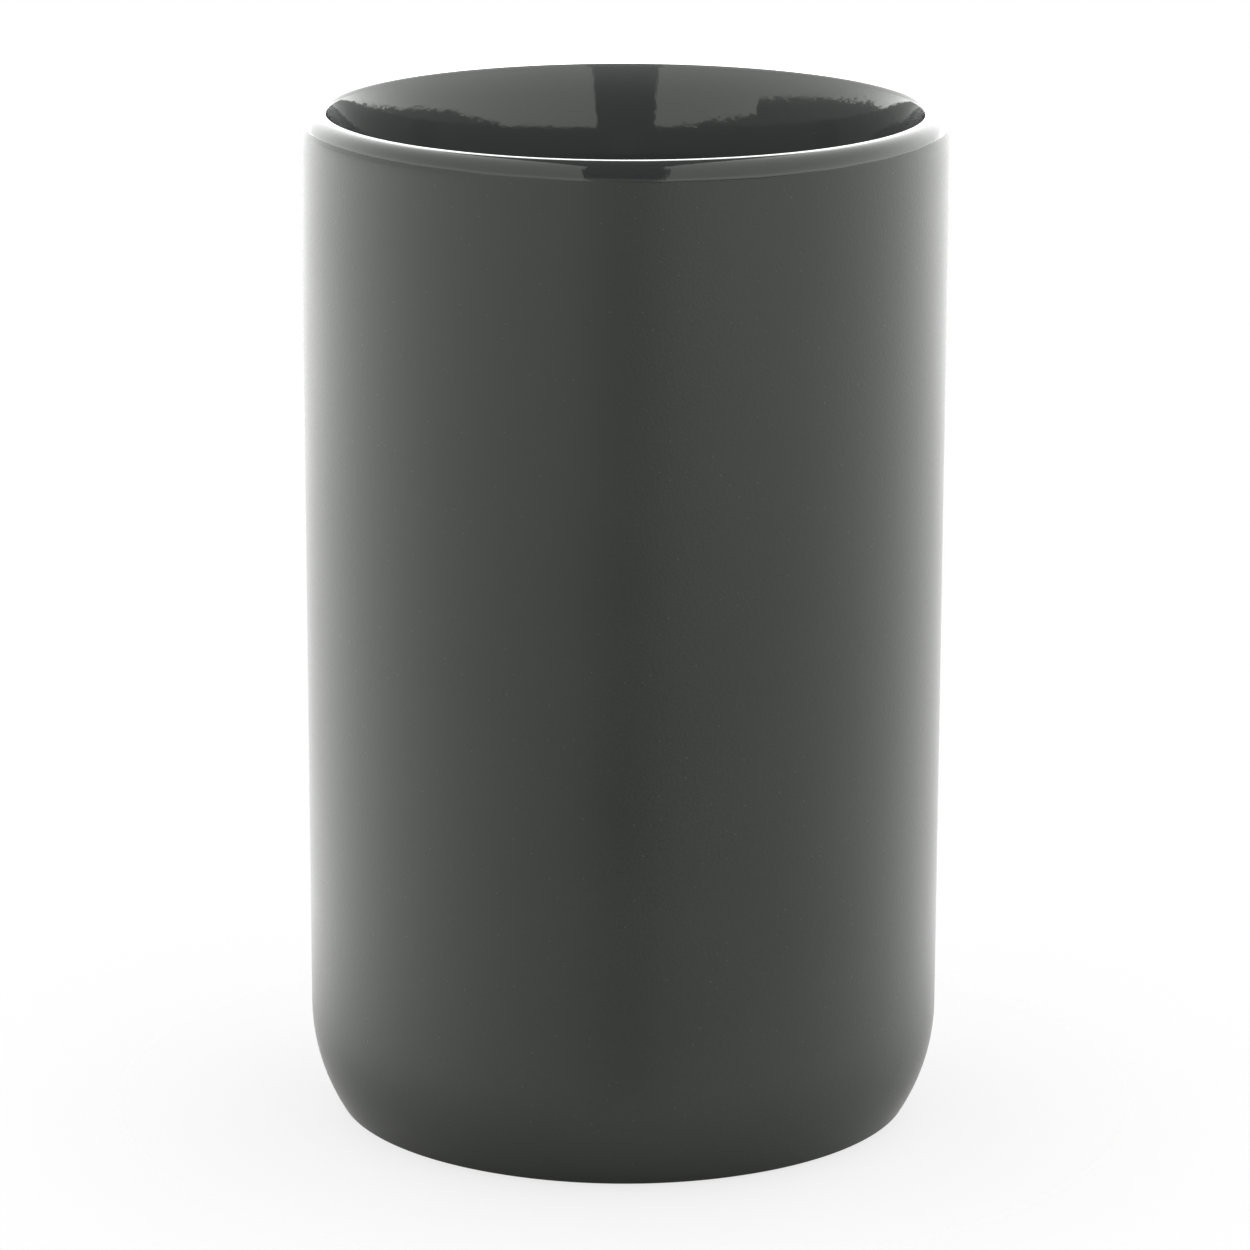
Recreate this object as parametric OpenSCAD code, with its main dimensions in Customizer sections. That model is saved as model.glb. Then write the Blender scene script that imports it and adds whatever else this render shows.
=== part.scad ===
// Bathroom tumbler of fired stoneware: a straight cup with a matt coat outside, a gloss
// glaze inside and over the lip, and glaze in the recess under its bare foot ring.
// Millimetres. The cup stands on Z = 0 and its axis is Z. Each piece is one turned
// outline. Coats follow the clay at their own thickness, so they always lie on it.

/* [Overall] */
// Diameter over the matt coat at the lip
outer_d = 70; // [60:0.5:90]
// Height from the table to the top of the lip
height = 111.5; // [80:0.5:150]
// How much the outside radius shrinks from the lip to the table
wall_draft = 0.15; // [0:0.05:1.5]

/* [Wall and floor] */
// Thickness of the upright wall with both coats
wall_t = 4.6; // [3.6:0.1:7]
// Thickness from the table to the inside floor, with its glaze
floor_t = 6.5; // [4.5:0.1:12]
// Radius of the inside corner between wall and floor
inside_corner_r = 14; // [4:0.5:20]

/* [Outside corner and foot] */
// Radius of the outside corner above the foot
corner_r = 21; // [10:0.5:30]
// How far the edge on the table lies inside the outside wall
base_inset = 3.3; // [2:0.1:6]
// Width of the bare ring that the cup stands on
foot_w = 4; // [2:0.1:8]
// Depth of the recess inside the foot ring
recess_h = 1.5; // [1.2:0.1:3]
// Radius in the corner of the recess
recess_r = 0.9; // [0.5:0.05:1]
// Radius of the sponged edges of the foot ring
foot_edge_r = 0.5; // [0.1:0.05:0.6]

/* [Lip] */
// Radius of the outside shoulder of the lip, over the glaze
lip_out_r = 2.3; // [1.2:0.1:2.8]
// Radius of the inside edge of the lip, over the glaze
lip_in_r = 0.5; // [0.5:0.05:0.7]
// Width of the level crest between the two lip radii
lip_flat = 0.05; // [0.05:0.05:0.3]
// Depth below the lip at which the leaning inside of the lip meets the upright wall
lip_depth = 8; // [7.5:0.5:20]
// Length on either side of that meeting line that is rounded over, so that the lip flares out
lip_blend = 7; // [0.5:0.1:7.2]

/* [Glazes] */
// Thickness of the gloss glaze
gloss_t = 0.35; // [0.2:0.05:0.45]
// Thickness of the matt coat
matt_t = 0.3; // [0.15:0.05:0.5]
// Thickness of the glaze in the recess
underside_t = 0.3; // [0.15:0.05:0.45]
// Height of the gloss band on the outside, below the top of the lip
band_h = 1.7; // [1:0.1:6]
// Radius of the bead at the lower edge of the gloss band
bead_r = 0.2; // [0.12:0.01:0.3]
// How far the bead stands proud of the gloss glaze
bead_proud = 0.03; // [0.01:0.01:0.08]
// Height above the table at which the matt coat is wiped off
wiped_h = 0.15; // [0.05:0.05:0.4]

/* [Hidden] */
// Overrun of the shapes that cut
over = 1;
// Greatest angle of one step along an arc, in degrees
arc_step = 5;
$fn = 128;

matt_colour = [0.25, 0.26, 0.25];
gloss_colour = [0.20, 0.21, 0.20];
clay_colour = [0.74, 0.71, 0.65];

// An arc about centre c, from angle a to angle b
function arc(c, r, a, b) =
    let (n = max(1, ceil(abs(b - a) / arc_step)))
    [for (i = [0:n]) let (t = a + (b - a) * i / n) c + r * [cos(t), sin(t)]];

// Centre of the circle that touches two lines which cross at k. The lines have the unit
// normals m and n, and r is positive where the circle lies behind both of them.
function between(k, m, n, r) = k - r * (m + n) / (1 + m * n);

function reversed(p) = [for (i = [len(p) - 1:-1:0]) p[i]];
function without_first(p) = [for (i = [1:len(p) - 1]) p[i]];

// The clay under the lip: radii without the glaze, and the two centres
clay_h = height - gloss_t;
clay_out_r = lip_out_r - gloss_t;
clay_in_r = lip_in_r - gloss_t;
lip_out = [outer_d / 2 - matt_t - clay_out_r, clay_h - clay_out_r];
lip_in = [lip_out.x - lip_flat, clay_h - clay_in_r];

// The outside wall leans by draft_a, and its normal points away from the clay
draft_a = atan(wall_draft / height);
out_n = [cos(draft_a), -sin(draft_a)];
in_n = -out_n;
out_p = out_n * lip_out + clay_out_r;

// Outside corner of the clay, tangent to the wall
clay_corner_r = corner_r - matt_t;
corner_z = sqrt(pow(corner_r, 2) - pow(corner_r - base_inset, 2));
corner = [(out_p - clay_corner_r + corner_z * sin(draft_a)) / cos(draft_a), corner_z];

// Rounded outer edge of the foot, between the corner and the table
foot_out = [
    corner.x + sqrt(pow(clay_corner_r - foot_edge_r, 2) - pow(corner_z - foot_edge_r, 2)),
    foot_edge_r
];
foot_a = atan2(foot_out.y - corner.y, foot_out.x - corner.x);
foot_r = foot_out.x - foot_w;
foot_in = [foot_r + foot_edge_r, foot_edge_r];
recess = [foot_r - recess_r, recess_h - recess_r];

// Inside wall of the clay, parallel to the outside
in_p = wall_t - matt_t - gloss_t - out_p;
function inside_wall(z) = [(z * sin(draft_a) - in_p) / cos(draft_a), z];

// Inside of the lip: a line from the lip's inner edge to the upright wall
lean_foot = inside_wall(height - lip_depth);
lean_d = lip_in - lean_foot;
lean_a = acos(clay_in_r / norm(lean_d)) - atan2(lean_d.y, lean_d.x);
lean_n = [-cos(lean_a), sin(lean_a)];
blend_r = lip_blend / tan((lean_a - draft_a) / 2);
blend = between(lean_foot, lean_n, in_n, blend_r);

// Inside corner between wall and floor
floor_z = floor_t - gloss_t;
clay_inside_r = inside_corner_r + gloss_t;
inside_corner = between(inside_wall(floor_z), in_n, [0, 1], -clay_inside_r);

// Outside of the cup at a distance t from the clay, from the foot up to the lip's crest
function outside(t) = concat(
    arc(corner, clay_corner_r + t, foot_a, -draft_a),
    arc(lip_out, clay_out_r + t, -draft_a, 90)
);

// Inside of the cup at a distance t from the clay, from the lip's crest to the axis
function inside(t) = concat(
    arc(lip_in, clay_in_r + t, 90, 180 - lean_a),
    arc(blend, blend_r + t, 180 - lean_a, 180 - draft_a),
    arc(inside_corner, clay_inside_r - t, -draft_a, -90),
    [[0, floor_z + t]]
);

// Recess under the floor at a distance t from the clay, from the axis to its mouth
function underside(t) = concat(
    [[0, recess_h - t]],
    arc(recess, recess_r - t, 90, 0),
    [[foot_r - t, foot_edge_r]]
);

// Bare ring that the cup stands on, from the recess to the outside corner
foot = concat(
    without_first(arc(foot_in, foot_edge_r, 180, 270)),
    arc(foot_out, foot_edge_r, -90, foot_a)
);

// Point at height z on the wall or on the shoulder of the lip, at a distance t from the clay
function on_outside(z, t) =
    let (up = z - lip_out.y, r = clay_out_r + t)
    up > -r * sin(draft_a)
        ? [lip_out.x + sqrt(pow(r, 2) - pow(up, 2)), z]
        : [(out_p + t + z * sin(draft_a)) / cos(draft_a), z];

// Lower edge of the gloss band
band_z = height - band_h;

// Section of the clay
module clay_section() {
    polygon(concat(underside(0), foot, without_first(outside(0)), inside(0)));
}

// Section of a coat of thickness t on the outside, between two heights
module outside_coat_section(t, low, high) {
    intersection() {
        polygon(concat(outside(t), reversed(outside(0))));
        translate([0, low])
            square([outer_d, high - low]);
    }
}

// Section of the bead at the lower edge of the gloss band
module bead_section() {
    translate(on_outside(band_z, gloss_t + bead_proud - bead_r))
        circle(bead_r);
}

// Fired clay of the cup: all that the coats lie on, and the bare ring that it stands on
module stoneware_body() {
    color(clay_colour)
        rotate_extrude()
            clay_section();
}

// Lining of the cup, carried over the lip to a beaded edge on the outside
module gloss_glaze() {
    crest = [lip_out.x, clay_h];
    color(gloss_colour)
        rotate_extrude()
            union() {
                polygon(concat([[crest.x, height]], inside(gloss_t), reversed(inside(0)), [crest]));
                outside_coat_section(gloss_t, band_z, height + over);
                difference() {
                    bead_section();
                    clay_section();
                }
            }
}

// Matt coat of the outside, from the bead down to the wiped edge of the foot
module matt_glaze() {
    color(matt_colour)
        rotate_extrude()
            difference() {
                outside_coat_section(matt_t, wiped_h, band_z);
                bead_section();
            }
}

// Glaze on the floor and side of the recess inside the foot ring
module underside_glaze() {
    color(matt_colour)
        rotate_extrude()
            polygon(concat(underside(underside_t), reversed(underside(0))));
}

stoneware_body();
gloss_glaze();
matt_glaze();
underside_glaze();
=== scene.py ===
"""A round tumbler of dark stoneware: matt outside, gloss inside and over the lip."""

import math

import bmesh
import bpy
from mathutils import Matrix, Vector, noise

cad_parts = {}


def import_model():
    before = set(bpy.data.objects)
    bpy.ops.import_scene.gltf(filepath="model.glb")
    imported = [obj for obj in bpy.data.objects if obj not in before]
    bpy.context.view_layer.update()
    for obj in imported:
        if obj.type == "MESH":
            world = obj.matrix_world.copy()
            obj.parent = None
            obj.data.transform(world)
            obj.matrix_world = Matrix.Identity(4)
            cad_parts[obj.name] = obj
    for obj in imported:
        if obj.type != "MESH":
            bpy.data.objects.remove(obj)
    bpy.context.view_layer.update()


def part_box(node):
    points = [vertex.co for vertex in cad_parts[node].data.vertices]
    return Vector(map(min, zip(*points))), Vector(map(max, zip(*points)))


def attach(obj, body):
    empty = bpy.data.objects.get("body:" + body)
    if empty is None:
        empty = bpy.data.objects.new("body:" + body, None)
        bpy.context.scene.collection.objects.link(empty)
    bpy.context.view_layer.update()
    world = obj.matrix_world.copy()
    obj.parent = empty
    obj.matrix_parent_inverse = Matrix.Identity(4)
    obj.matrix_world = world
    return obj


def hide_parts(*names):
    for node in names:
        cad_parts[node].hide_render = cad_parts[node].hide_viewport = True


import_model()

MM = 0.001

# Overall sizes, read from the frame
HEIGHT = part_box("gloss_glaze")[1].z
CLAY_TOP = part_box("stoneware_body")[1].z
CLAY_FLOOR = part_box("gloss_glaze")[0].z
RECESS_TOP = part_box("underside_glaze")[1].z
GLOSS_T = HEIGHT - CLAY_TOP

# Sizes of the wall, its inside corner and the coats
OUTER_R = 35 * MM
WALL_DRAFT = 0.15 * MM
WALL_T = 4.6 * MM
MATT_T = 0.3 * MM
UNDERSIDE_T = 0.3 * MM
INSIDE_CORNER_R = 14 * MM

# Sizes of the outside corner, the bare foot ring and the recess inside it
CORNER_R = 21 * MM
BASE_INSET = 3.3 * MM
FOOT_W = 4 * MM
FOOT_EDGE_R = 0.5 * MM
RECESS_R = 0.9 * MM
# How far the matt coat's rolled edge keeps above the foot's, in degrees about the corner
WIPED_TURN = 0.4

# Sizes of the lip, and of the bead at the edge of the gloss glaze
LIP_OUT_R = 2.3 * MM
LIP_IN_R = 0.5 * MM
LIP_FLAT = 0.05 * MM
LIP_DEPTH = 8 * MM
LIP_BLEND = 7 * MM
BAND_H = 1.7 * MM
BEAD_R = 0.3 * MM
BEAD_PROUD = 0.005 * MM
# At its top the matt coat is only this much thinner than the gloss, and it thickens to that over
# this turn of the lip, in degrees
LAP_DROP = 0.005 * MM
LAP_TURN = 10

# The edge of the gloss under the lip: how far below its drawn place it lies on average, how far
# it sways about that, the azimuth in degrees at which it is lowest, and its small nicks
EDGE_MEAN = -0.2 * MM
EDGE_SWAY = 0.2 * MM
EDGE_FRONT = 14
EDGE_NICK = 0.05 * MM
EDGE_NICK_SIZE = 4 * MM
# The coats slide with the edge within this distance of it, and less and less over this way
# further down
EDGE_HOLD = 1 * MM
EDGE_FADE = 4 * MM

# Low waves in the free side of the gloss
WAVE = 0.06 * MM
WAVE_SIZE = 13 * MM

# How finely the pieces are turned: steps of a round, lengths of a step where it shows and where
# it doesn't, degrees of a step along an arc, the width that counts as none, and the angle in
# degrees from which an edge looks sharp
AROUND = 256
FINE = 1.4 * MM
COARSE = 6 * MM
ARC_STEP = 6
HAIR = 0.001 * MM
SHARP = 40


# Outlines

def polar(radius, degrees):
    """The point at that radius and angle, in the plane of the section."""
    angle = math.radians(degrees)
    return Vector((radius * math.cos(angle), radius * math.sin(angle)))


def heading(way):
    """Angle of a way in the plane of the section, in degrees up from level."""
    return math.degrees(math.atan2(way.y, way.x))


def between(corner, m, n, radius):
    """Centre of the circle that touches two lines, which cross at corner with unit normals m and n."""
    return corner - radius * (m + n) / (1 + m.dot(n))


DRAFT = math.degrees(math.atan2(WALL_DRAFT, HEIGHT))
OUT_N = polar(1, -DRAFT)
IN_N = -OUT_N

SHOULDER_R = LIP_OUT_R - GLOSS_T
BRIM_R = LIP_IN_R - GLOSS_T
SHOULDER = Vector((OUTER_R - MATT_T - SHOULDER_R, CLAY_TOP - SHOULDER_R))
BRIM = Vector((SHOULDER.x - LIP_FLAT, CLAY_TOP - BRIM_R))
OUT_PLANE = OUT_N.dot(SHOULDER) + SHOULDER_R

CLAY_CORNER_R = CORNER_R - MATT_T
CORNER_Z = math.sqrt(CORNER_R ** 2 - (CORNER_R - BASE_INSET) ** 2)
CORNER = Vector(((OUT_PLANE - CLAY_CORNER_R - OUT_N.y * CORNER_Z) / OUT_N.x, CORNER_Z))
FOOT_OUT = Vector((
    CORNER.x + math.sqrt((CLAY_CORNER_R - FOOT_EDGE_R) ** 2 - (CORNER_Z - FOOT_EDGE_R) ** 2),
    FOOT_EDGE_R,
))
FOOT_A = heading(FOOT_OUT - CORNER)
RECESS_WALL_R = FOOT_OUT.x - FOOT_W
FOOT_IN = Vector((RECESS_WALL_R + FOOT_EDGE_R, FOOT_EDGE_R))
RECESS = Vector((RECESS_WALL_R - RECESS_R, RECESS_TOP - RECESS_R))


def inside_wall(z):
    """Point at height z on the upright inside of the clay."""
    plane = OUT_PLANE - (WALL_T - MATT_T - GLOSS_T)
    return Vector(((plane - OUT_N.y * z) / OUT_N.x, z))


LEAN_FOOT = inside_wall(HEIGHT - LIP_DEPTH)
LEAN_WAY = BRIM - LEAN_FOOT
LEAN = math.degrees(math.acos(BRIM_R / LEAN_WAY.length)) - heading(LEAN_WAY)
BLEND_R = LIP_BLEND / math.tan(math.radians(LEAN - DRAFT) / 2)
BLEND = between(LEAN_FOOT, polar(1, 180 - LEAN), IN_N, BLEND_R)
CLAY_INSIDE_R = INSIDE_CORNER_R + GLOSS_T
INSIDE_CORNER = between(inside_wall(CLAY_FLOOR), IN_N, Vector((0, 1)), -CLAY_INSIDE_R)

# The bead: how far over the clay its middle lies, its middle and the lip's normal there
BEAD_LEVEL = GLOSS_T + BEAD_PROUD - BEAD_R
BEAD_UP = HEIGHT - BAND_H - SHOULDER.y
BEAD = SHOULDER + Vector((math.sqrt((SHOULDER_R + BEAD_LEVEL) ** 2 - BEAD_UP ** 2), BEAD_UP))
BEAD_N = heading(BEAD - SHOULDER)
# Length along the clay from the crest of the lip down to the middle of the bead
EDGE = SHOULDER_R * math.radians(90 - BEAD_N)


def outside(t):
    """Arcs of the outside at a distance t from the clay, from the foot up to the lip's crest."""
    return [
        (CORNER, CLAY_CORNER_R + t, FOOT_A, -DRAFT),
        (SHOULDER, SHOULDER_R + t, -DRAFT, 90),
    ]


def inside(t):
    """Arcs of the inside at a distance t from the clay, from the lip's crest down to the floor."""
    return [
        (BRIM, BRIM_R + t, 90, 180 - LEAN),
        (BLEND, BLEND_R + t, 180 - LEAN, 180 - DRAFT),
        (INSIDE_CORNER, CLAY_INSIDE_R - t, -DRAFT, -90),
    ]


def backwards(arcs):
    """The same arcs from their other end."""
    return [(centre, radius, end, start) for centre, radius, start, end in reversed(arcs)]


def bead_turn(t):
    """Angle about the bead, from the lip's normal, at which it crosses a distance t from the clay."""
    reach, out = SHOULDER_R + BEAD_LEVEL, SHOULDER_R + t
    return math.degrees(math.acos((out ** 2 - reach ** 2 - BEAD_R ** 2) / (2 * reach * BEAD_R)))


def on_bead(turn):
    """Point of the bead at an angle up from the lip's normal."""
    return BEAD + polar(BEAD_R, BEAD_N + turn)


class Template:
    """Half the section of a turned piece, drawn from point to point and then turned about Z."""

    def __init__(self):
        self.bm = bmesh.new()
        self.tip = None

    def line(self, end, pace=COARSE):
        """A straight stretch on to a point, in equal steps, or else the first point."""
        if self.tip is None:
            self.tip = self.bm.verts.new((end.x, 0, end.y))
            return
        start = self.tip.co.copy()
        way = Vector((end.x, 0, end.y)) - start
        if way.length < HAIR:
            return
        steps = max(1, round(way.length / pace))
        for step in range(1, steps + 1):
            grown = bmesh.ops.extrude_vert_indiv(self.bm, verts=[self.tip])
            self.tip = grown["verts"][0]
            self.tip.co = start + way * step / steps

    def arc(self, centre, radius, start, end, pace=COARSE):
        """A straight stretch on to the start of an arc, and the arc."""
        self.line(centre + polar(radius, start), pace)
        sweep = math.radians(end - start)
        steps = max(
            math.ceil(abs(end - start) / ARC_STEP),
            math.ceil(abs(sweep) * radius / pace),
        )
        spun = bmesh.ops.spin(
            self.bm, geom=[self.tip], cent=(centre.x, 0, centre.y), axis=(0, -1, 0),
            angle=sweep, steps=steps, use_merge=False,
        )
        self.tip = next(e for e in spun["geom_last"] if isinstance(e, bmesh.types.BMVert))

    def arcs(self, arcs, pace=COARSE):
        """Several arcs, each from the end of the last."""
        for centre, radius, start, end in arcs:
            self.arc(centre, radius, start, end, pace)

    def turned(self):
        """The closed shape that the outline makes when it is turned a full round."""
        bmesh.ops.remove_doubles(self.bm, verts=self.bm.verts, dist=HAIR)
        bmesh.ops.spin(
            self.bm, geom=self.bm.verts[:] + self.bm.edges[:], cent=(0, 0, 0),
            axis=(0, 0, 1), angle=math.tau, steps=AROUND, use_merge=True,
        )
        bmesh.ops.remove_doubles(self.bm, verts=self.bm.verts, dist=HAIR)
        bmesh.ops.recalc_face_normals(self.bm, faces=self.bm.faces)
        if self.bm.calc_volume(signed=True) < 0:
            bmesh.ops.reverse_faces(self.bm, faces=self.bm.faces)
        return self.bm


# Finishes

class Value:
    """A socket of a shader, which sums can be written with."""

    def __init__(self, finish, socket):
        self.finish = finish
        self.socket = socket

    def __add__(self, other):
        return self.finish.maths("ADD", self, other)

    def __radd__(self, other):
        return self.finish.maths("ADD", other, self)

    def __sub__(self, other):
        return self.finish.maths("SUBTRACT", self, other)

    def __rsub__(self, other):
        return self.finish.maths("SUBTRACT", other, self)

    def __mul__(self, other):
        return self.finish.maths("MULTIPLY", self, other)

    def __rmul__(self, other):
        return self.finish.maths("MULTIPLY", other, self)


class Made:
    """A node of a shader: its outputs by name or number."""

    def __init__(self, finish, node):
        self.finish = finish
        self.node = node

    def __getitem__(self, output):
        return Value(self.finish, self.node.outputs[output])


# A speck is full out to this share of its radius, and the choice of cells is this soft
SPECK_CORE = 0.7
PICK_EDGE = 0.02
# What a vector is multiplied by to leave its level part
LEVEL = (1, 1, 0)


class Finish:
    """A surface of the cup, built up from patterns in the cup's own coordinates."""

    def __init__(self, name):
        self.material = bpy.data.materials.new(name)
        self.material.use_nodes = True
        self.tree = self.material.node_tree
        self.shader = self.tree.nodes["Principled BSDF"]
        self.place = self.node("TexCoord")["Object"]

    def node(self, kind, settings=None, values=None):
        """A node of that kind. Its settings come first, then what its sockets take."""
        made = self.tree.nodes.new("ShaderNode" + kind)
        for key, setting in (settings or {}).items():
            setattr(made, key, setting)
        for key, value in (values or {}).items():
            self.feed(made.inputs[key], value)
        return Made(self, made)

    def feed(self, socket, value):
        """A link or a number into a socket."""
        if isinstance(value, Value):
            self.tree.links.new(value.socket, socket)
        else:
            socket.default_value = value

    def set(self, **values):
        """Numbers, colours and patterns on the surface's own sockets, named with _ for a space."""
        for key, value in values.items():
            self.feed(self.shader.inputs[key.replace("_", " ")], value)

    def maths(self, operation, first, second):
        """One sum on two numbers."""
        return self.node("Math", {"operation": operation}, {0: first, 1: second})[0]

    def vector(self, operation, *vectors):
        """One sum on one or two vectors."""
        made = self.node("VectorMath", {"operation": operation}, dict(enumerate(vectors)))
        return made["Value" if operation == "LENGTH" else "Vector"]

    def part(self, vector, axis):
        """The X, Y or Z of a vector."""
        return self.node("SeparateXYZ", {}, {0: vector})[axis]

    def cloud(self, size, detail=2.0, roughness=0.5):
        """Soft noise from 0 to 1 whose patches are about size across."""
        return self.node("TexNoise", {}, {
            "Vector": self.place, "Scale": 1 / size, "Detail": detail, "Roughness": roughness,
        })["Fac"]

    def ramp(self, value, low, high, out_low=0.0, out_high=1.0):
        """The value spread from out_low at low to out_high at high, and held at both ends."""
        return self.node("MapRange", {"clamp": True}, {
            "Value": value, "From Min": low, "From Max": high,
            "To Min": out_low, "To Max": out_high,
        })["Result"]

    def specks(self, spacing, size, share):
        """Round specks of that size in a share of the cells of that spacing: 1 on a speck, else 0."""
        cells = self.node("TexVoronoi", {"feature": "F1"}, {
            "Vector": self.place, "Scale": 1 / spacing, "Randomness": 1.0,
        })
        radius = size / spacing / 2
        spot = self.ramp(cells["Distance"], radius * SPECK_CORE, radius, 1.0, 0.0)
        pick = self.node("SeparateColor", {}, {"Color": cells["Color"]})["Red"]
        return spot * self.ramp(pick, share - PICK_EDGE, share, 1.0, 0.0)

    def mix(self, factor, first, second):
        """One colour over another, by a factor from 0 to 1."""
        return self.node("Mix", {"data_type": "RGBA"}, {0: factor, 6: first, 7: second})[2]

    def relief(self, height, depth):
        """The surface's slope from a height from 0 to 1 that is worth that depth."""
        return self.node("Bump", {}, {
            "Height": height, "Distance": depth, "Strength": 1.0,
        })["Normal"]


def blended(drift, grain, share):
    """Two patterns in one, with that share of the second."""
    return drift * (1 - share) + grain * share


# Soft noise keeps near 0.5, so these parts of it are spread over the tones and the roughness
TONE_SPAN = (0.35, 0.65)
ROUGH_SPAN = (0.3, 0.7)

GLAZE_IOR = 1.5
GLAZE_TINT = (0.95, 1.0, 0.93, 1)

# Matt coat: tones, the painted light that makes the coat paler up the wall, where it starts and how
# strong it is, grain and specks
MATT_DARK = (0.0225, 0.0255, 0.0215, 1)
MATT_LIGHT = (0.0275, 0.0305, 0.0265, 1)
# Painted light: the paler tone that the coat is painted towards the top of the wall, for the stronger
# light there
MATT_PAINTED_LIGHT = (0.032, 0.035, 0.031, 1)
MATT_PAINTED_LIGHT_START = HEIGHT / 2
MATT_PAINTED_LIGHT_SHARE = 0.85
MATT_DRIFT = 18 * MM
MATT_GRAIN = 0.32 * MM
MATT_GRAIN_SHARE = 0.6
MATT_SPECKS = {"spacing": 0.9 * MM, "size": 0.16 * MM, "share": 0.35}
MATT_SPECK = (0.12, 0.125, 0.12, 1)
MATT_SPECK_TONE = 0.5
MATT_SPECK_RISE = 0.4
MATT_ROUGHNESS = (0.33, 0.40)
MATT_RELIEF = 0.015 * MM
MATT_SHEEN = 0.3
MATT_SHEEN_ROUGHNESS = 0.22

# Gloss glaze: tones on the lip and in the lining, a painted glow at the mouth and on the edge of the
# gloss, how far down the mouth's glow reaches, ripple and pinholes
GLOSS_THIN = (0.0225, 0.0255, 0.0240, 1)
GLOSS_DARK = (0.0440, 0.0475, 0.0460, 1)
GLOSS_LIGHT = (0.0480, 0.0515, 0.0500, 1)
# Painted glow: the paler tone painted at the mouth of the lining, and as a painted highlight on the
# edge of the gloss
GLOSS_PAINTED_GLOW = (0.1150, 0.1200, 0.1180, 1)
GLOSS_GLOW_DEPTH = 8 * MM
GLOSS_DRIFT = 14 * MM
GLOSS_RIPPLE = 1.2 * MM
PINHOLES = {"spacing": 5 * MM, "size": 0.22 * MM, "share": 0.25}
PINHOLE_ROUGH = 0.3
PINHOLE_DEPTH = 0.5
GLOSS_ROUGHNESS = (0.035, 0.06)
GLOSS_RELIEF = 0.01 * MM
# The attribute that marks the edge of the gloss, and how strongly a highlight is painted on that edge
EDGE_MARK = "glaze_edge"
EDGE_HIGHLIGHT_SHARE = 0.25

# Bare clay: tones, grain and grit
CLAY_PALE = (0.56, 0.52, 0.46, 1)
CLAY_DULL = (0.47, 0.43, 0.37, 1)
CLAY_DRIFT = 7 * MM
CLAY_GRAIN = 0.4 * MM
CLAY_GRAIN_SHARE = 0.4
GRIT = {"spacing": 1.1 * MM, "size": 0.3 * MM, "share": 0.45}
CLAY_GRIT = (0.20, 0.17, 0.14, 1)
GRIT_TONE = 0.8
GRIT_DEPTH = 0.3
CLAY_ROUGHNESS = (0.75, 0.9)
CLAY_RELIEF = 0.05 * MM


def matt_finish(name):
    """Dark matt coat: a dry, very fine grain with pale specks, and painted light that makes it a little
    paler up the wall.
    """
    finish = Finish(name)
    drift = finish.cloud(MATT_DRIFT)
    grain = finish.cloud(MATT_GRAIN, detail=3)
    specks = finish.specks(**MATT_SPECKS)
    uneven = blended(drift, grain, MATT_GRAIN_SHARE)
    height = finish.part(finish.place, "Z")
    # Painted light: the coat is painted paler from halfway up the wall to the lip
    painted_top_light = finish.ramp(height, MATT_PAINTED_LIGHT_START, HEIGHT, 0, MATT_PAINTED_LIGHT_SHARE)
    tone = finish.mix(finish.ramp(uneven, *TONE_SPAN), MATT_DARK, MATT_LIGHT)
    tone = finish.mix(painted_top_light, tone, MATT_PAINTED_LIGHT)
    finish.set(
        Base_Color=finish.mix(specks * MATT_SPECK_TONE, tone, MATT_SPECK),
        Roughness=finish.ramp(uneven, *ROUGH_SPAN, *MATT_ROUGHNESS),
        IOR=GLAZE_IOR,
        Specular_Tint=GLAZE_TINT,
        Sheen_Weight=MATT_SHEEN,
        Sheen_Roughness=MATT_SHEEN_ROUGHNESS,
        Normal=finish.relief(grain + specks * MATT_SPECK_RISE, MATT_RELIEF),
    )
    return finish.material


def gloss_finish(name):
    """Dark gloss glaze with a low ripple and rare pinholes, with a painted glow at the mouth and a
    painted highlight on its edge.
    """
    finish = Finish(name)
    ripple = finish.cloud(GLOSS_RIPPLE, detail=4)
    drift = finish.cloud(GLOSS_DRIFT)
    pinholes = finish.specks(**PINHOLES)
    height = finish.part(finish.place, "Z")
    radius = finish.vector("LENGTH", finish.vector("MULTIPLY", finish.place, LEVEL))
    # Painted glow: the lining is painted paler towards the mouth
    mouth = finish.ramp(height, HEIGHT - GLOSS_GLOW_DEPTH, HEIGHT)
    mouth = mouth * mouth
    mouth = mouth * mouth
    lining = finish.mix(mouth, finish.mix(drift, GLOSS_DARK, GLOSS_LIGHT), GLOSS_PAINTED_GLOW)
    # Painted highlight: the edge of the gloss is painted paler, in the glow tone
    edge = finish.node("Attribute", {"attribute_name": EDGE_MARK})["Fac"]
    lip = finish.mix(edge * EDGE_HIGHLIGHT_SHARE, GLOSS_THIN, GLOSS_PAINTED_GLOW)
    on_lip = finish.ramp(radius, BRIM.x - LIP_IN_R, BRIM.x + LIP_IN_R)
    finish.set(
        Base_Color=finish.mix(on_lip, lining, lip),
        Roughness=finish.ramp(drift, *ROUGH_SPAN, *GLOSS_ROUGHNESS) + pinholes * PINHOLE_ROUGH,
        IOR=GLAZE_IOR,
        Specular_Tint=GLAZE_TINT,
        Normal=finish.relief(ripple - pinholes * PINHOLE_DEPTH, GLOSS_RELIEF),
    )
    return finish.material


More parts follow.
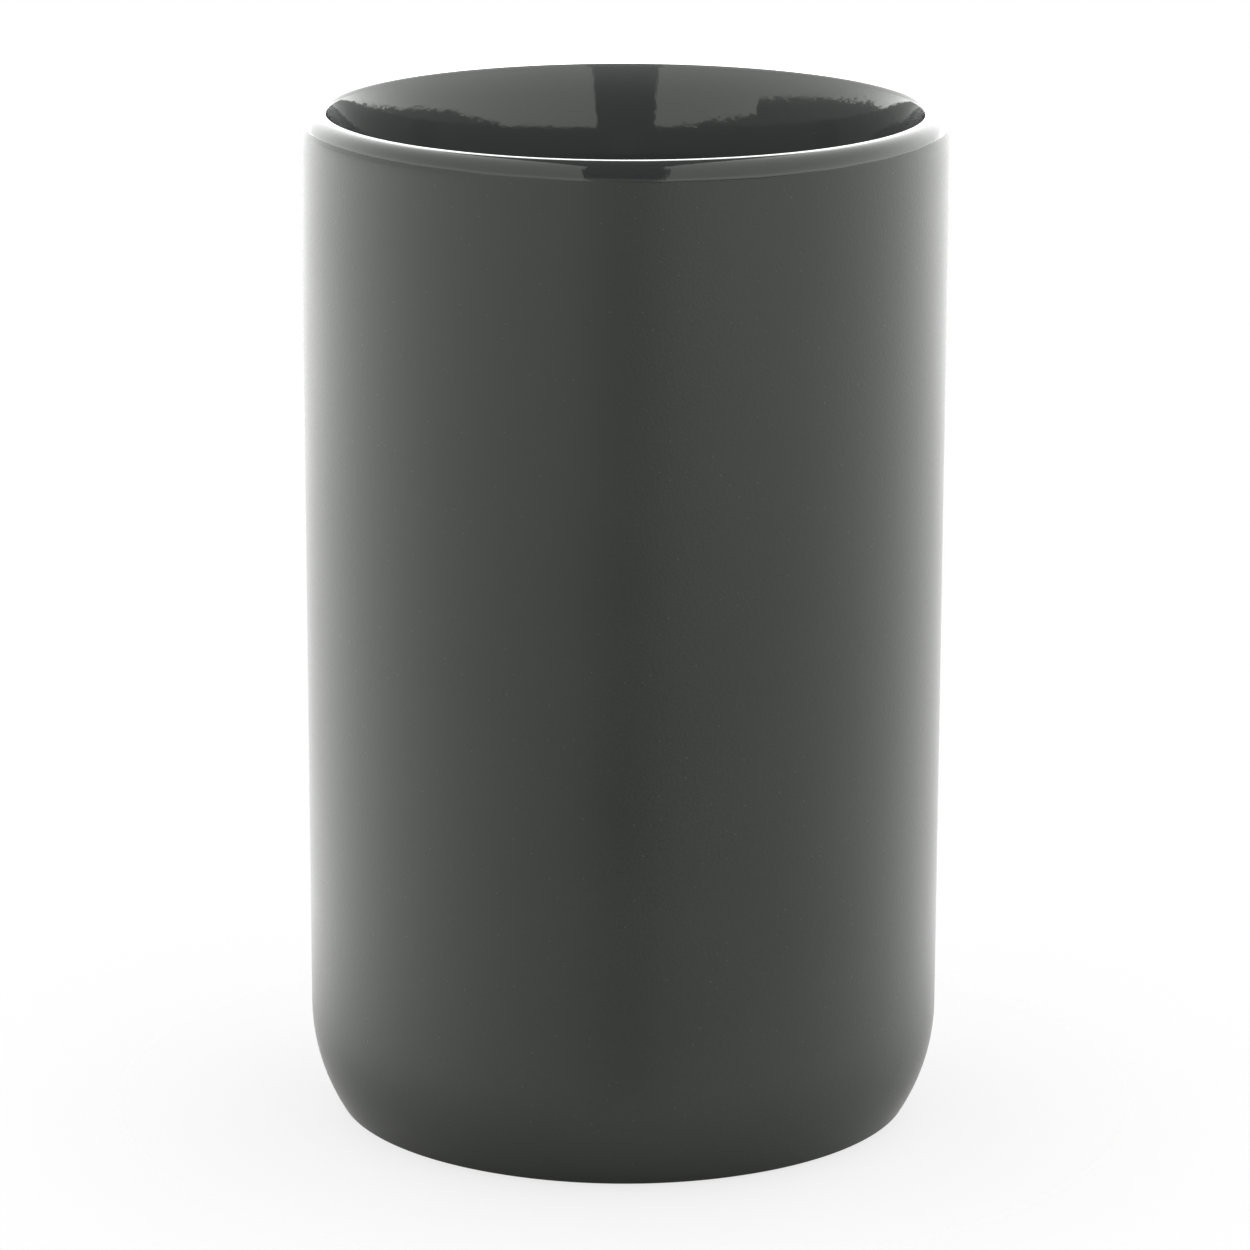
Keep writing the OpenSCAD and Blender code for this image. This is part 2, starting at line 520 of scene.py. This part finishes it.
def clay_finish(name):
    """Bare fired stoneware: pale, dry and gritty."""
    finish = Finish(name)
    drift = finish.cloud(CLAY_DRIFT, detail=3)
    grain = finish.cloud(CLAY_GRAIN, detail=4, roughness=0.6)
    grit = finish.specks(**GRIT)
    uneven = blended(drift, grain, CLAY_GRAIN_SHARE)
    tone = finish.mix(finish.ramp(uneven, *TONE_SPAN), CLAY_DULL, CLAY_PALE)
    finish.set(
        Base_Color=finish.mix(grit * GRIT_TONE, tone, CLAY_GRIT),
        Roughness=finish.ramp(grain, *ROUGH_SPAN, *CLAY_ROUGHNESS),
        Normal=finish.relief(grain - grit * GRIT_DEPTH, CLAY_RELIEF),
    )
    return finish.material


# The pieces

def linked(name, bm, material):
    """An object of the scene with that shape and material."""
    mesh = bpy.data.meshes.new(name)
    bm.to_mesh(mesh)
    bm.free()
    mesh.materials.append(material)
    made = bpy.data.objects.new(name, mesh)
    bpy.context.scene.collection.objects.link(made)
    return made


def piece(name, bm, finish, node):
    """A finished piece of the cup, in place of its node of the frame."""
    made = linked(name, bm, finish)
    made.data.shade_smooth()
    made.data.set_sharp_from_angle(angle=math.radians(SHARP))
    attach(made, "root")
    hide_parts(node)


def eased(share):
    """0 up to a share of 0, 1 from a share of 1, and smooth between."""
    share = min(max(share, 0), 1)
    return share * share * (3 - 2 * share)


def edge_shift(azimuth):
    """How far the edge of the gloss lies below its drawn place, along the surface of the lip."""
    turn = azimuth - math.radians(EDGE_FRONT)
    place = Vector((math.sin(azimuth), -math.cos(azimuth), 0)) * OUTER_R
    nick = noise.noise(place / EDGE_NICK_SIZE)
    return EDGE_MEAN + EDGE_SWAY * (math.cos(turn) + math.cos(2 * turn)) + EDGE_NICK * nick


def wavy_edge(bm):
    """Slide a coat along the lip and the wall, so that the edge of the gloss rises and falls.

    A point keeps its level, which is its distance from the middle of the shoulder, and changes
    its way down from the crest. An attribute marks the edge, where the finish paints a highlight.
    """
    mark = bm.verts.layers.float.new(EDGE_MARK)
    quarter = SHOULDER_R * math.pi / 2
    for vert in bm.verts:
        radius = math.hypot(vert.co.x, vert.co.y)
        side, up = radius - SHOULDER.x, vert.co.z - SHOULDER.y
        if side <= 0:
            continue
        level = math.hypot(side, up) if up > 0 else side
        down = SHOULDER_R * math.atan2(side, up) if up > 0 else quarter - up
        vert[mark] = eased(1 + (down - EDGE) / BEAD_R)
        above = eased(down / (EDGE - EDGE_HOLD))
        below = eased((EDGE + EDGE_HOLD + EDGE_FADE - down) / EDGE_FADE)
        down += above * below * edge_shift(math.atan2(vert.co.x, -vert.co.y))
        bend = min(down, quarter) / SHOULDER_R
        out = min(SHOULDER.x + level * math.sin(bend), OUTER_R)
        vert.co.x *= out / radius
        vert.co.y *= out / radius
        vert.co.z = SHOULDER.y + level * math.cos(bend) - max(down - quarter, 0)
    return bm


def waves(bm):
    """Low waves, all of them hollows, on the free side of the gloss, which faces up everywhere."""
    bm.normal_update()
    for vert in bm.verts:
        if vert.normal.z > 0:
            radius = math.hypot(vert.co.x, vert.co.y)
            calm = eased((SHOULDER.x + LIP_OUT_R / 2 - radius) / LIP_OUT_R)
            vert.co += vert.normal * (WAVE * calm * (noise.noise(vert.co / WAVE_SIZE) - 1) / 2)
    return bm


def stoneware():
    """Clay of the cup, from the axis under the floor, round the foot and lip, to the axis inside."""
    template = Template()
    template.line(Vector((0, RECESS_TOP)))
    template.arc(RECESS, RECESS_R, 90, 0)
    template.arc(FOOT_IN, FOOT_EDGE_R, 180, 270)
    template.line(Vector((FOOT_OUT.x, 0)), FINE)
    template.arc(FOOT_OUT, FOOT_EDGE_R, -90, FOOT_A)
    template.arcs(outside(0))
    template.arcs(inside(0))
    template.line(Vector((0, CLAY_FLOOR)))
    return template.turned()


def gloss_lining():
    """Gloss glaze, from the bead under the lip, over the lip and down the inside to the axis."""
    low, top = -bead_turn(0), bead_turn(GLOSS_T)
    template = Template()
    template.arc(BEAD, BEAD_R, BEAD_N + low, BEAD_N + top, FINE)
    template.arc(SHOULDER, SHOULDER_R + GLOSS_T, heading(on_bead(top) - SHOULDER), 90, FINE)
    template.arcs(inside(GLOSS_T), FINE)
    template.line(Vector((0, CLAY_FLOOR + GLOSS_T)), FINE)
    template.line(Vector((0, CLAY_FLOOR)))
    template.arcs(backwards(inside(0)))
    template.arc(SHOULDER, SHOULDER_R, 90, heading(on_bead(low) - SHOULDER))
    template.line(on_bead(low))
    return waves(wavy_edge(template.turned()))


def matt_coat():
    """Matt coat, from its rolled edge above the foot up to the bead."""
    roll_r = MATT_T / 2
    roll_a = FOOT_A + math.degrees(roll_r / CLAY_CORNER_R) + WIPED_TURN
    roll = CORNER + polar(CLAY_CORNER_R + roll_r, roll_a)
    low, top = -bead_turn(0), -bead_turn(GLOSS_T - LAP_DROP)
    lap_a = heading(on_bead(top) - SHOULDER) - LAP_TURN
    template = Template()
    template.arc(roll, roll_r, roll_a - 180, roll_a)
    template.arc(CORNER, CORNER_R, roll_a, -DRAFT, FINE)
    template.arc(SHOULDER, SHOULDER_R + MATT_T, -DRAFT, lap_a, FINE)
    template.arc(BEAD, BEAD_R, BEAD_N + top, BEAD_N + low)
    template.arc(SHOULDER, SHOULDER_R, heading(on_bead(low) - SHOULDER), -DRAFT)
    template.arc(CORNER, CLAY_CORNER_R, -DRAFT, roll_a)
    return wavy_edge(template.turned())


def recess_coat():
    """Coat of the recess inside the foot ring, with a rolled lower edge."""
    roll_r = UNDERSIDE_T / 2
    template = Template()
    template.line(Vector((0, RECESS_TOP)))
    template.arc(RECESS, RECESS_R, 90, 0)
    template.arc(Vector((RECESS_WALL_R - roll_r, FOOT_EDGE_R + roll_r)), roll_r, 0, -180)
    template.arc(RECESS, RECESS_R - UNDERSIDE_T, 0, 90)
    template.line(Vector((0, RECESS_TOP - UNDERSIDE_T)), FINE)
    return template.turned()


matt = matt_finish("matt_coat")
piece("clay_cup", stoneware(), clay_finish("bare_clay"), "stoneware_body")
piece("gloss_lining", gloss_lining(), gloss_finish("gloss_glaze"), "gloss_glaze")
piece("matt_outside", matt_coat(), matt, "matt_glaze")
piece("matt_recess", recess_coat(), matt, "underside_glaze")


# Camera

# How far it stands in front of the cup's axis and above the table, how many degrees it looks down
# and aside and is rolled, its near limit, and its lens and sensor, which are set in millimetres
CAMERA_BACK = 610.4 * MM
CAMERA_UP = 209.24 * MM
CAMERA_DOWN = 14.264
CAMERA_ASIDE = 0.008
CAMERA_ROLL = 0.146
CAMERA_CLIP = 10 * MM
LENS = 164.34
SENSOR = 36


def camera():
    """The camera of the photograph's view."""
    data = bpy.data.cameras.new("camera")
    data.sensor_width = SENSOR
    data.lens = LENS
    data.clip_start = CAMERA_CLIP
    made = bpy.data.objects.new("camera", data)
    bpy.context.scene.collection.objects.link(made)
    aside = Matrix.Rotation(math.radians(-CAMERA_ASIDE), 3, "Z")
    down = Matrix.Rotation(math.radians(90 - CAMERA_DOWN), 3, "X")
    roll = Matrix.Rotation(math.radians(CAMERA_ROLL), 3, "Z")
    made.rotation_euler = (aside @ down @ roll).to_euler()
    made.location = (0, -CAMERA_BACK, CAMERA_UP)
    bpy.context.scene.camera = made


# Floor and light

# The floor's edge, the distances from the cup's axis between which it fades out, how far it lies
# under the foot, the hole in it under the cup, and the steps of its round
FLOOR_R = 105 * MM
FLOOR_FADE = 33 * MM
FLOOR_CLEAR = 95 * MM
FLOOR_GAP = 0.05 * MM
FLOOR_HOLE_R = FOOT_OUT.x - 0.1 * MM
FLOOR_AROUND = 64
# How pale it is to the camera and in mirror images, how pale for the light that it throws on
# the cup, and how much of what the camera sees is plain white instead
FLOOR_WHITE = 0.65
FLOOR_BOUNCE = 0.15
FLOOR_GLOW = 0.75

# The tent is a ball of light about its middle, turned in steps of this many degrees. Its light
# changes from front to back by this power of the way back.
TENT_R = 1500 * MM
TENT_MIDDLE = Vector((0, 0, 100 * MM))
TENT_STEP = 5
TENT_RISE = 1.25
# Half the slot's width: these shares of the height over the tent's middle, of the distance in
# front of it, and of the distance behind it, which counts as negative
SLOT_LEAN = 0.12
SLOT_FRONT = 0.19
SLOT_BACK = -0.11
# How far the room, the sheets behind the slot and the gaps lie from the middle, as shares of
# the tent's radius
ROOM_SHARE = 1.1
BACK_SHARE = 1.05
GAP_SHARE = 0.97

# Brightness of the light tent at some elevations, in front of the cup and behind it, and how
# much brighter its left side is than its middle. It changes evenly from one to the next.
TENT_LEVELS = (
    (-40, 0.6, 4.0, 0.20), (-15, 0.6, 1.95, 0.20), (0, 1.4, 5.8, 0.05), (10, 1.65, 3.5, -0.03),
    (20, 1.6, 3.5, -0.05), (30, 1.35, 2.9, -0.05), (42, 1.45, 2.05, -0.05), (60, 1.45, 1.7, -0.05),
    (90, 1.55, 1.6, -0.05),
)
# The same of the room, of the bright sheets behind the slot, which start at this azimuth, and of
# the dark gaps under the light of the two sides
ROOM_LEVELS = ((-90, 0.2, 0.2, 0), (90, 0.2, 0.2, 0))
BACK_LEVELS = ((-40, 4.5, 4.5, 0), (31, 4.5, 4.5, 0))
BACK_START = 160
GAP_LEVELS = ((-2, 0.35, 0.35, 0), (13, 0.35, 0.35, 0))
# Each gap's side, the azimuths between which it lies, the slope of its straight top edge and
# the azimuth at which that edge is highest
GAPS = (
    (-1, 22, 56, 0.156, 68), (-1, 56, 145, 0.21, 53),
    (1, 49, 80, 0.15, 90), (1, 80, 145, 0.153, 60),
)


class Studio(Finish):
    """A material of the studio, or its world, made from plain shaders."""

    def __init__(self, owner):
        self.owner = owner
        owner.use_nodes = True
        self.tree = owner.node_tree
        self.tree.nodes.clear()

    def seen(self):
        """1 where the camera sees the studio, straight or in a mirror image, and else 0."""
        path = self.node("LightPath")
        image = self.maths("MAXIMUM", path["Is Glossy Ray"], path["Is Transmission Ray"])
        return self.maths("MAXIMUM", path["Is Camera Ray"], image)

    def shade(self, output, shader):
        """The material or world, with that shader on its surface."""
        end = self.node(output)
        self.feed(end.node.inputs["Surface"], shader)
        return self.owner


def staged(name, bm, material):
    """A part of the studio, with that shape and material."""
    made = linked(name, bm, material)
    return made


def as_share(value):
    """A value from -1 to 1, spread from 0 to 1."""
    return value * 0.5 + 0.5


def glow(name, levels):
    """Light that changes with the elevation and from front to back, about the tent's middle."""
    studio = Studio(bpy.data.materials.new(name))
    place = studio.vector("SUBTRACT", studio.node("TexCoord")["Object"], TENT_MIDDLE)
    way = studio.vector("NORMALIZE", place)
    level_way = studio.vector("NORMALIZE", studio.vector("MULTIPLY", way, LEVEL))
    behind = studio.maths("POWER", as_share(studio.part(level_way, "Y")), TENT_RISE)
    ramp = studio.node("ValToRGB", {}, {0: as_share(studio.part(way, "Z"))})
    brightest = max(max(front, back) for _, front, back, _ in levels)
    stops = ramp.node.color_ramp.elements
    while len(stops) < len(levels):
        stops.new(0.5)
    for stop, (elevation, front, back, left) in zip(stops, levels):
        stop.position = as_share(math.sin(math.radians(elevation)))
        stop.color = (front / brightest, back / brightest, as_share(left), 1)
    ends = studio.node("SeparateColor", {}, {"Color": ramp["Color"]})
    tilt = 1 + (1 - 2 * ends["Blue"]) * studio.part(way, "X")
    strength = (ends["Red"] + (ends["Green"] - ends["Red"]) * behind) * tilt * brightest
    light = studio.node("Emission", {}, {"Strength": strength})
    return studio.shade("OutputMaterial", light["Emission"])


def sheet(name, side, share, levels, start=0, end=180):
    """A sheet of the tent on one side of the cup, between two azimuths from the front."""
    bm = bmesh.new()
    low, high = levels[0][0], levels[-1][0]
    azimuth, tilt = math.radians(start - 90), math.radians(low)
    out = Vector((side * math.cos(azimuth), math.sin(azimuth), 0))
    up = Vector((0, 0, 1))
    way = out * math.cos(tilt) + up * math.sin(tilt)
    foot = bm.verts.new(TENT_MIDDLE + TENT_R * share * way)
    bmesh.ops.spin(
        bm, geom=[foot], cent=TENT_MIDDLE, axis=out.cross(up), angle=math.radians(high - low),
        steps=math.ceil((high - low) / TENT_STEP), use_merge=False,
    )
    bmesh.ops.spin(
        bm, geom=bm.verts[:] + bm.edges[:], cent=(0, 0, 0), axis=(0, 0, side),
        angle=math.radians(end - start), steps=math.ceil((end - start) / TENT_STEP), use_merge=False,
    )
    bmesh.ops.remove_doubles(bm, verts=bm.verts, dist=MM)
    made = staged(name, bm, glow(name, levels))
    made.visible_camera = False
    return made


def cut_away(made, normals):
    """Cut a sheet by planes through the tent's middle, and keep what is in front of them all."""
    bm = bmesh.new()
    bm.from_mesh(made.data)
    for normal in normals:
        bmesh.ops.bisect_plane(
            bm, geom=bm.verts[:] + bm.edges[:] + bm.faces[:], plane_co=TENT_MIDDLE,
            plane_no=normal, clear_inner=True,
        )
    bm.to_mesh(made.data)
    bm.free()


def tent():
    """Two sides with a slot between them, sheets behind the slot, low gaps and a dim room round all."""
    for side, word in ((1, "right"), (-1, "left")):
        half = sheet(word + "_side", side, 1, TENT_LEVELS)
        cut_away(half, [(side, spread, -SLOT_LEAN) for spread in (SLOT_FRONT, SLOT_BACK)])
        sheet(word + "_back", side, BACK_SHARE, BACK_LEVELS, start=BACK_START)
        sheet(word + "_room", side, ROOM_SHARE, ROOM_LEVELS)
    for number, (side, start, end, slope, peak) in enumerate(GAPS):
        gap = sheet(f"gap_{number}", side, GAP_SHARE, GAP_LEVELS, start, end)
        across, ahead = side * math.sin(math.radians(peak)), -math.cos(math.radians(peak))
        cut_away(gap, [(slope * across, slope * ahead, -1)])


def floor():
    """A pale round table top that fades out to its edge, open under the cup and clear from below."""
    bm = bmesh.new()
    edge = bm.verts.new((FLOOR_HOLE_R, 0, -FLOOR_GAP))
    rim = bmesh.ops.extrude_vert_indiv(bm, verts=[edge])["verts"][0]
    rim.co.x = FLOOR_R
    bmesh.ops.spin(
        bm, geom=bm.verts[:] + bm.edges[:], cent=(0, 0, 0), axis=(0, 0, 1),
        angle=math.tau, steps=FLOOR_AROUND, use_merge=True,
    )
    bmesh.ops.recalc_face_normals(bm, faces=bm.faces)
    if bm.faces[:][0].normal.z < 0:
        bmesh.ops.reverse_faces(bm, faces=bm.faces)
    studio = Studio(bpy.data.materials.new("pale_floor"))
    paleness = FLOOR_BOUNCE + studio.seen() * (FLOOR_WHITE - FLOOR_BOUNCE)
    diffuse = studio.node("BsdfDiffuse", {}, {"Color": paleness})["BSDF"]
    white = studio.node("Emission", {}, {"Strength": 1.0})["Emission"]
    glowing = studio.node("LightPath")["Is Camera Ray"] * FLOOR_GLOW
    lit = studio.node("MixShader", {}, {0: glowing, 1: diffuse, 2: white})["Shader"]
    away = studio.vector("LENGTH", studio.node("TexCoord")["Object"])
    faded = studio.node("MapRange", {"clamp": True, "interpolation_type": "SMOOTHSTEP"}, {
        "Value": away, "From Min": FLOOR_FADE, "From Max": FLOOR_CLEAR,
    })["Result"]
    gone = studio.maths("MAXIMUM", faded, studio.node("NewGeometry")["Backfacing"])
    clear = studio.node("BsdfTransparent")["BSDF"]
    top = studio.node("MixShader", {}, {0: gone, 1: lit, 2: clear})["Shader"]
    staged("floor", bm, studio.shade("OutputMaterial", top))


def world():
    """White where the camera sees past the cup."""
    made = bpy.data.worlds.new("studio")
    bpy.context.scene.world = made
    studio = Studio(made)
    sky = studio.node("Background", {}, {"Color": (1, 1, 1, 1), "Strength": studio.seen()})
    studio.shade("OutputWorld", sky["Background"])


camera()
floor()
world()
tent()

bpy.context.scene.view_settings.view_transform = "Standard"
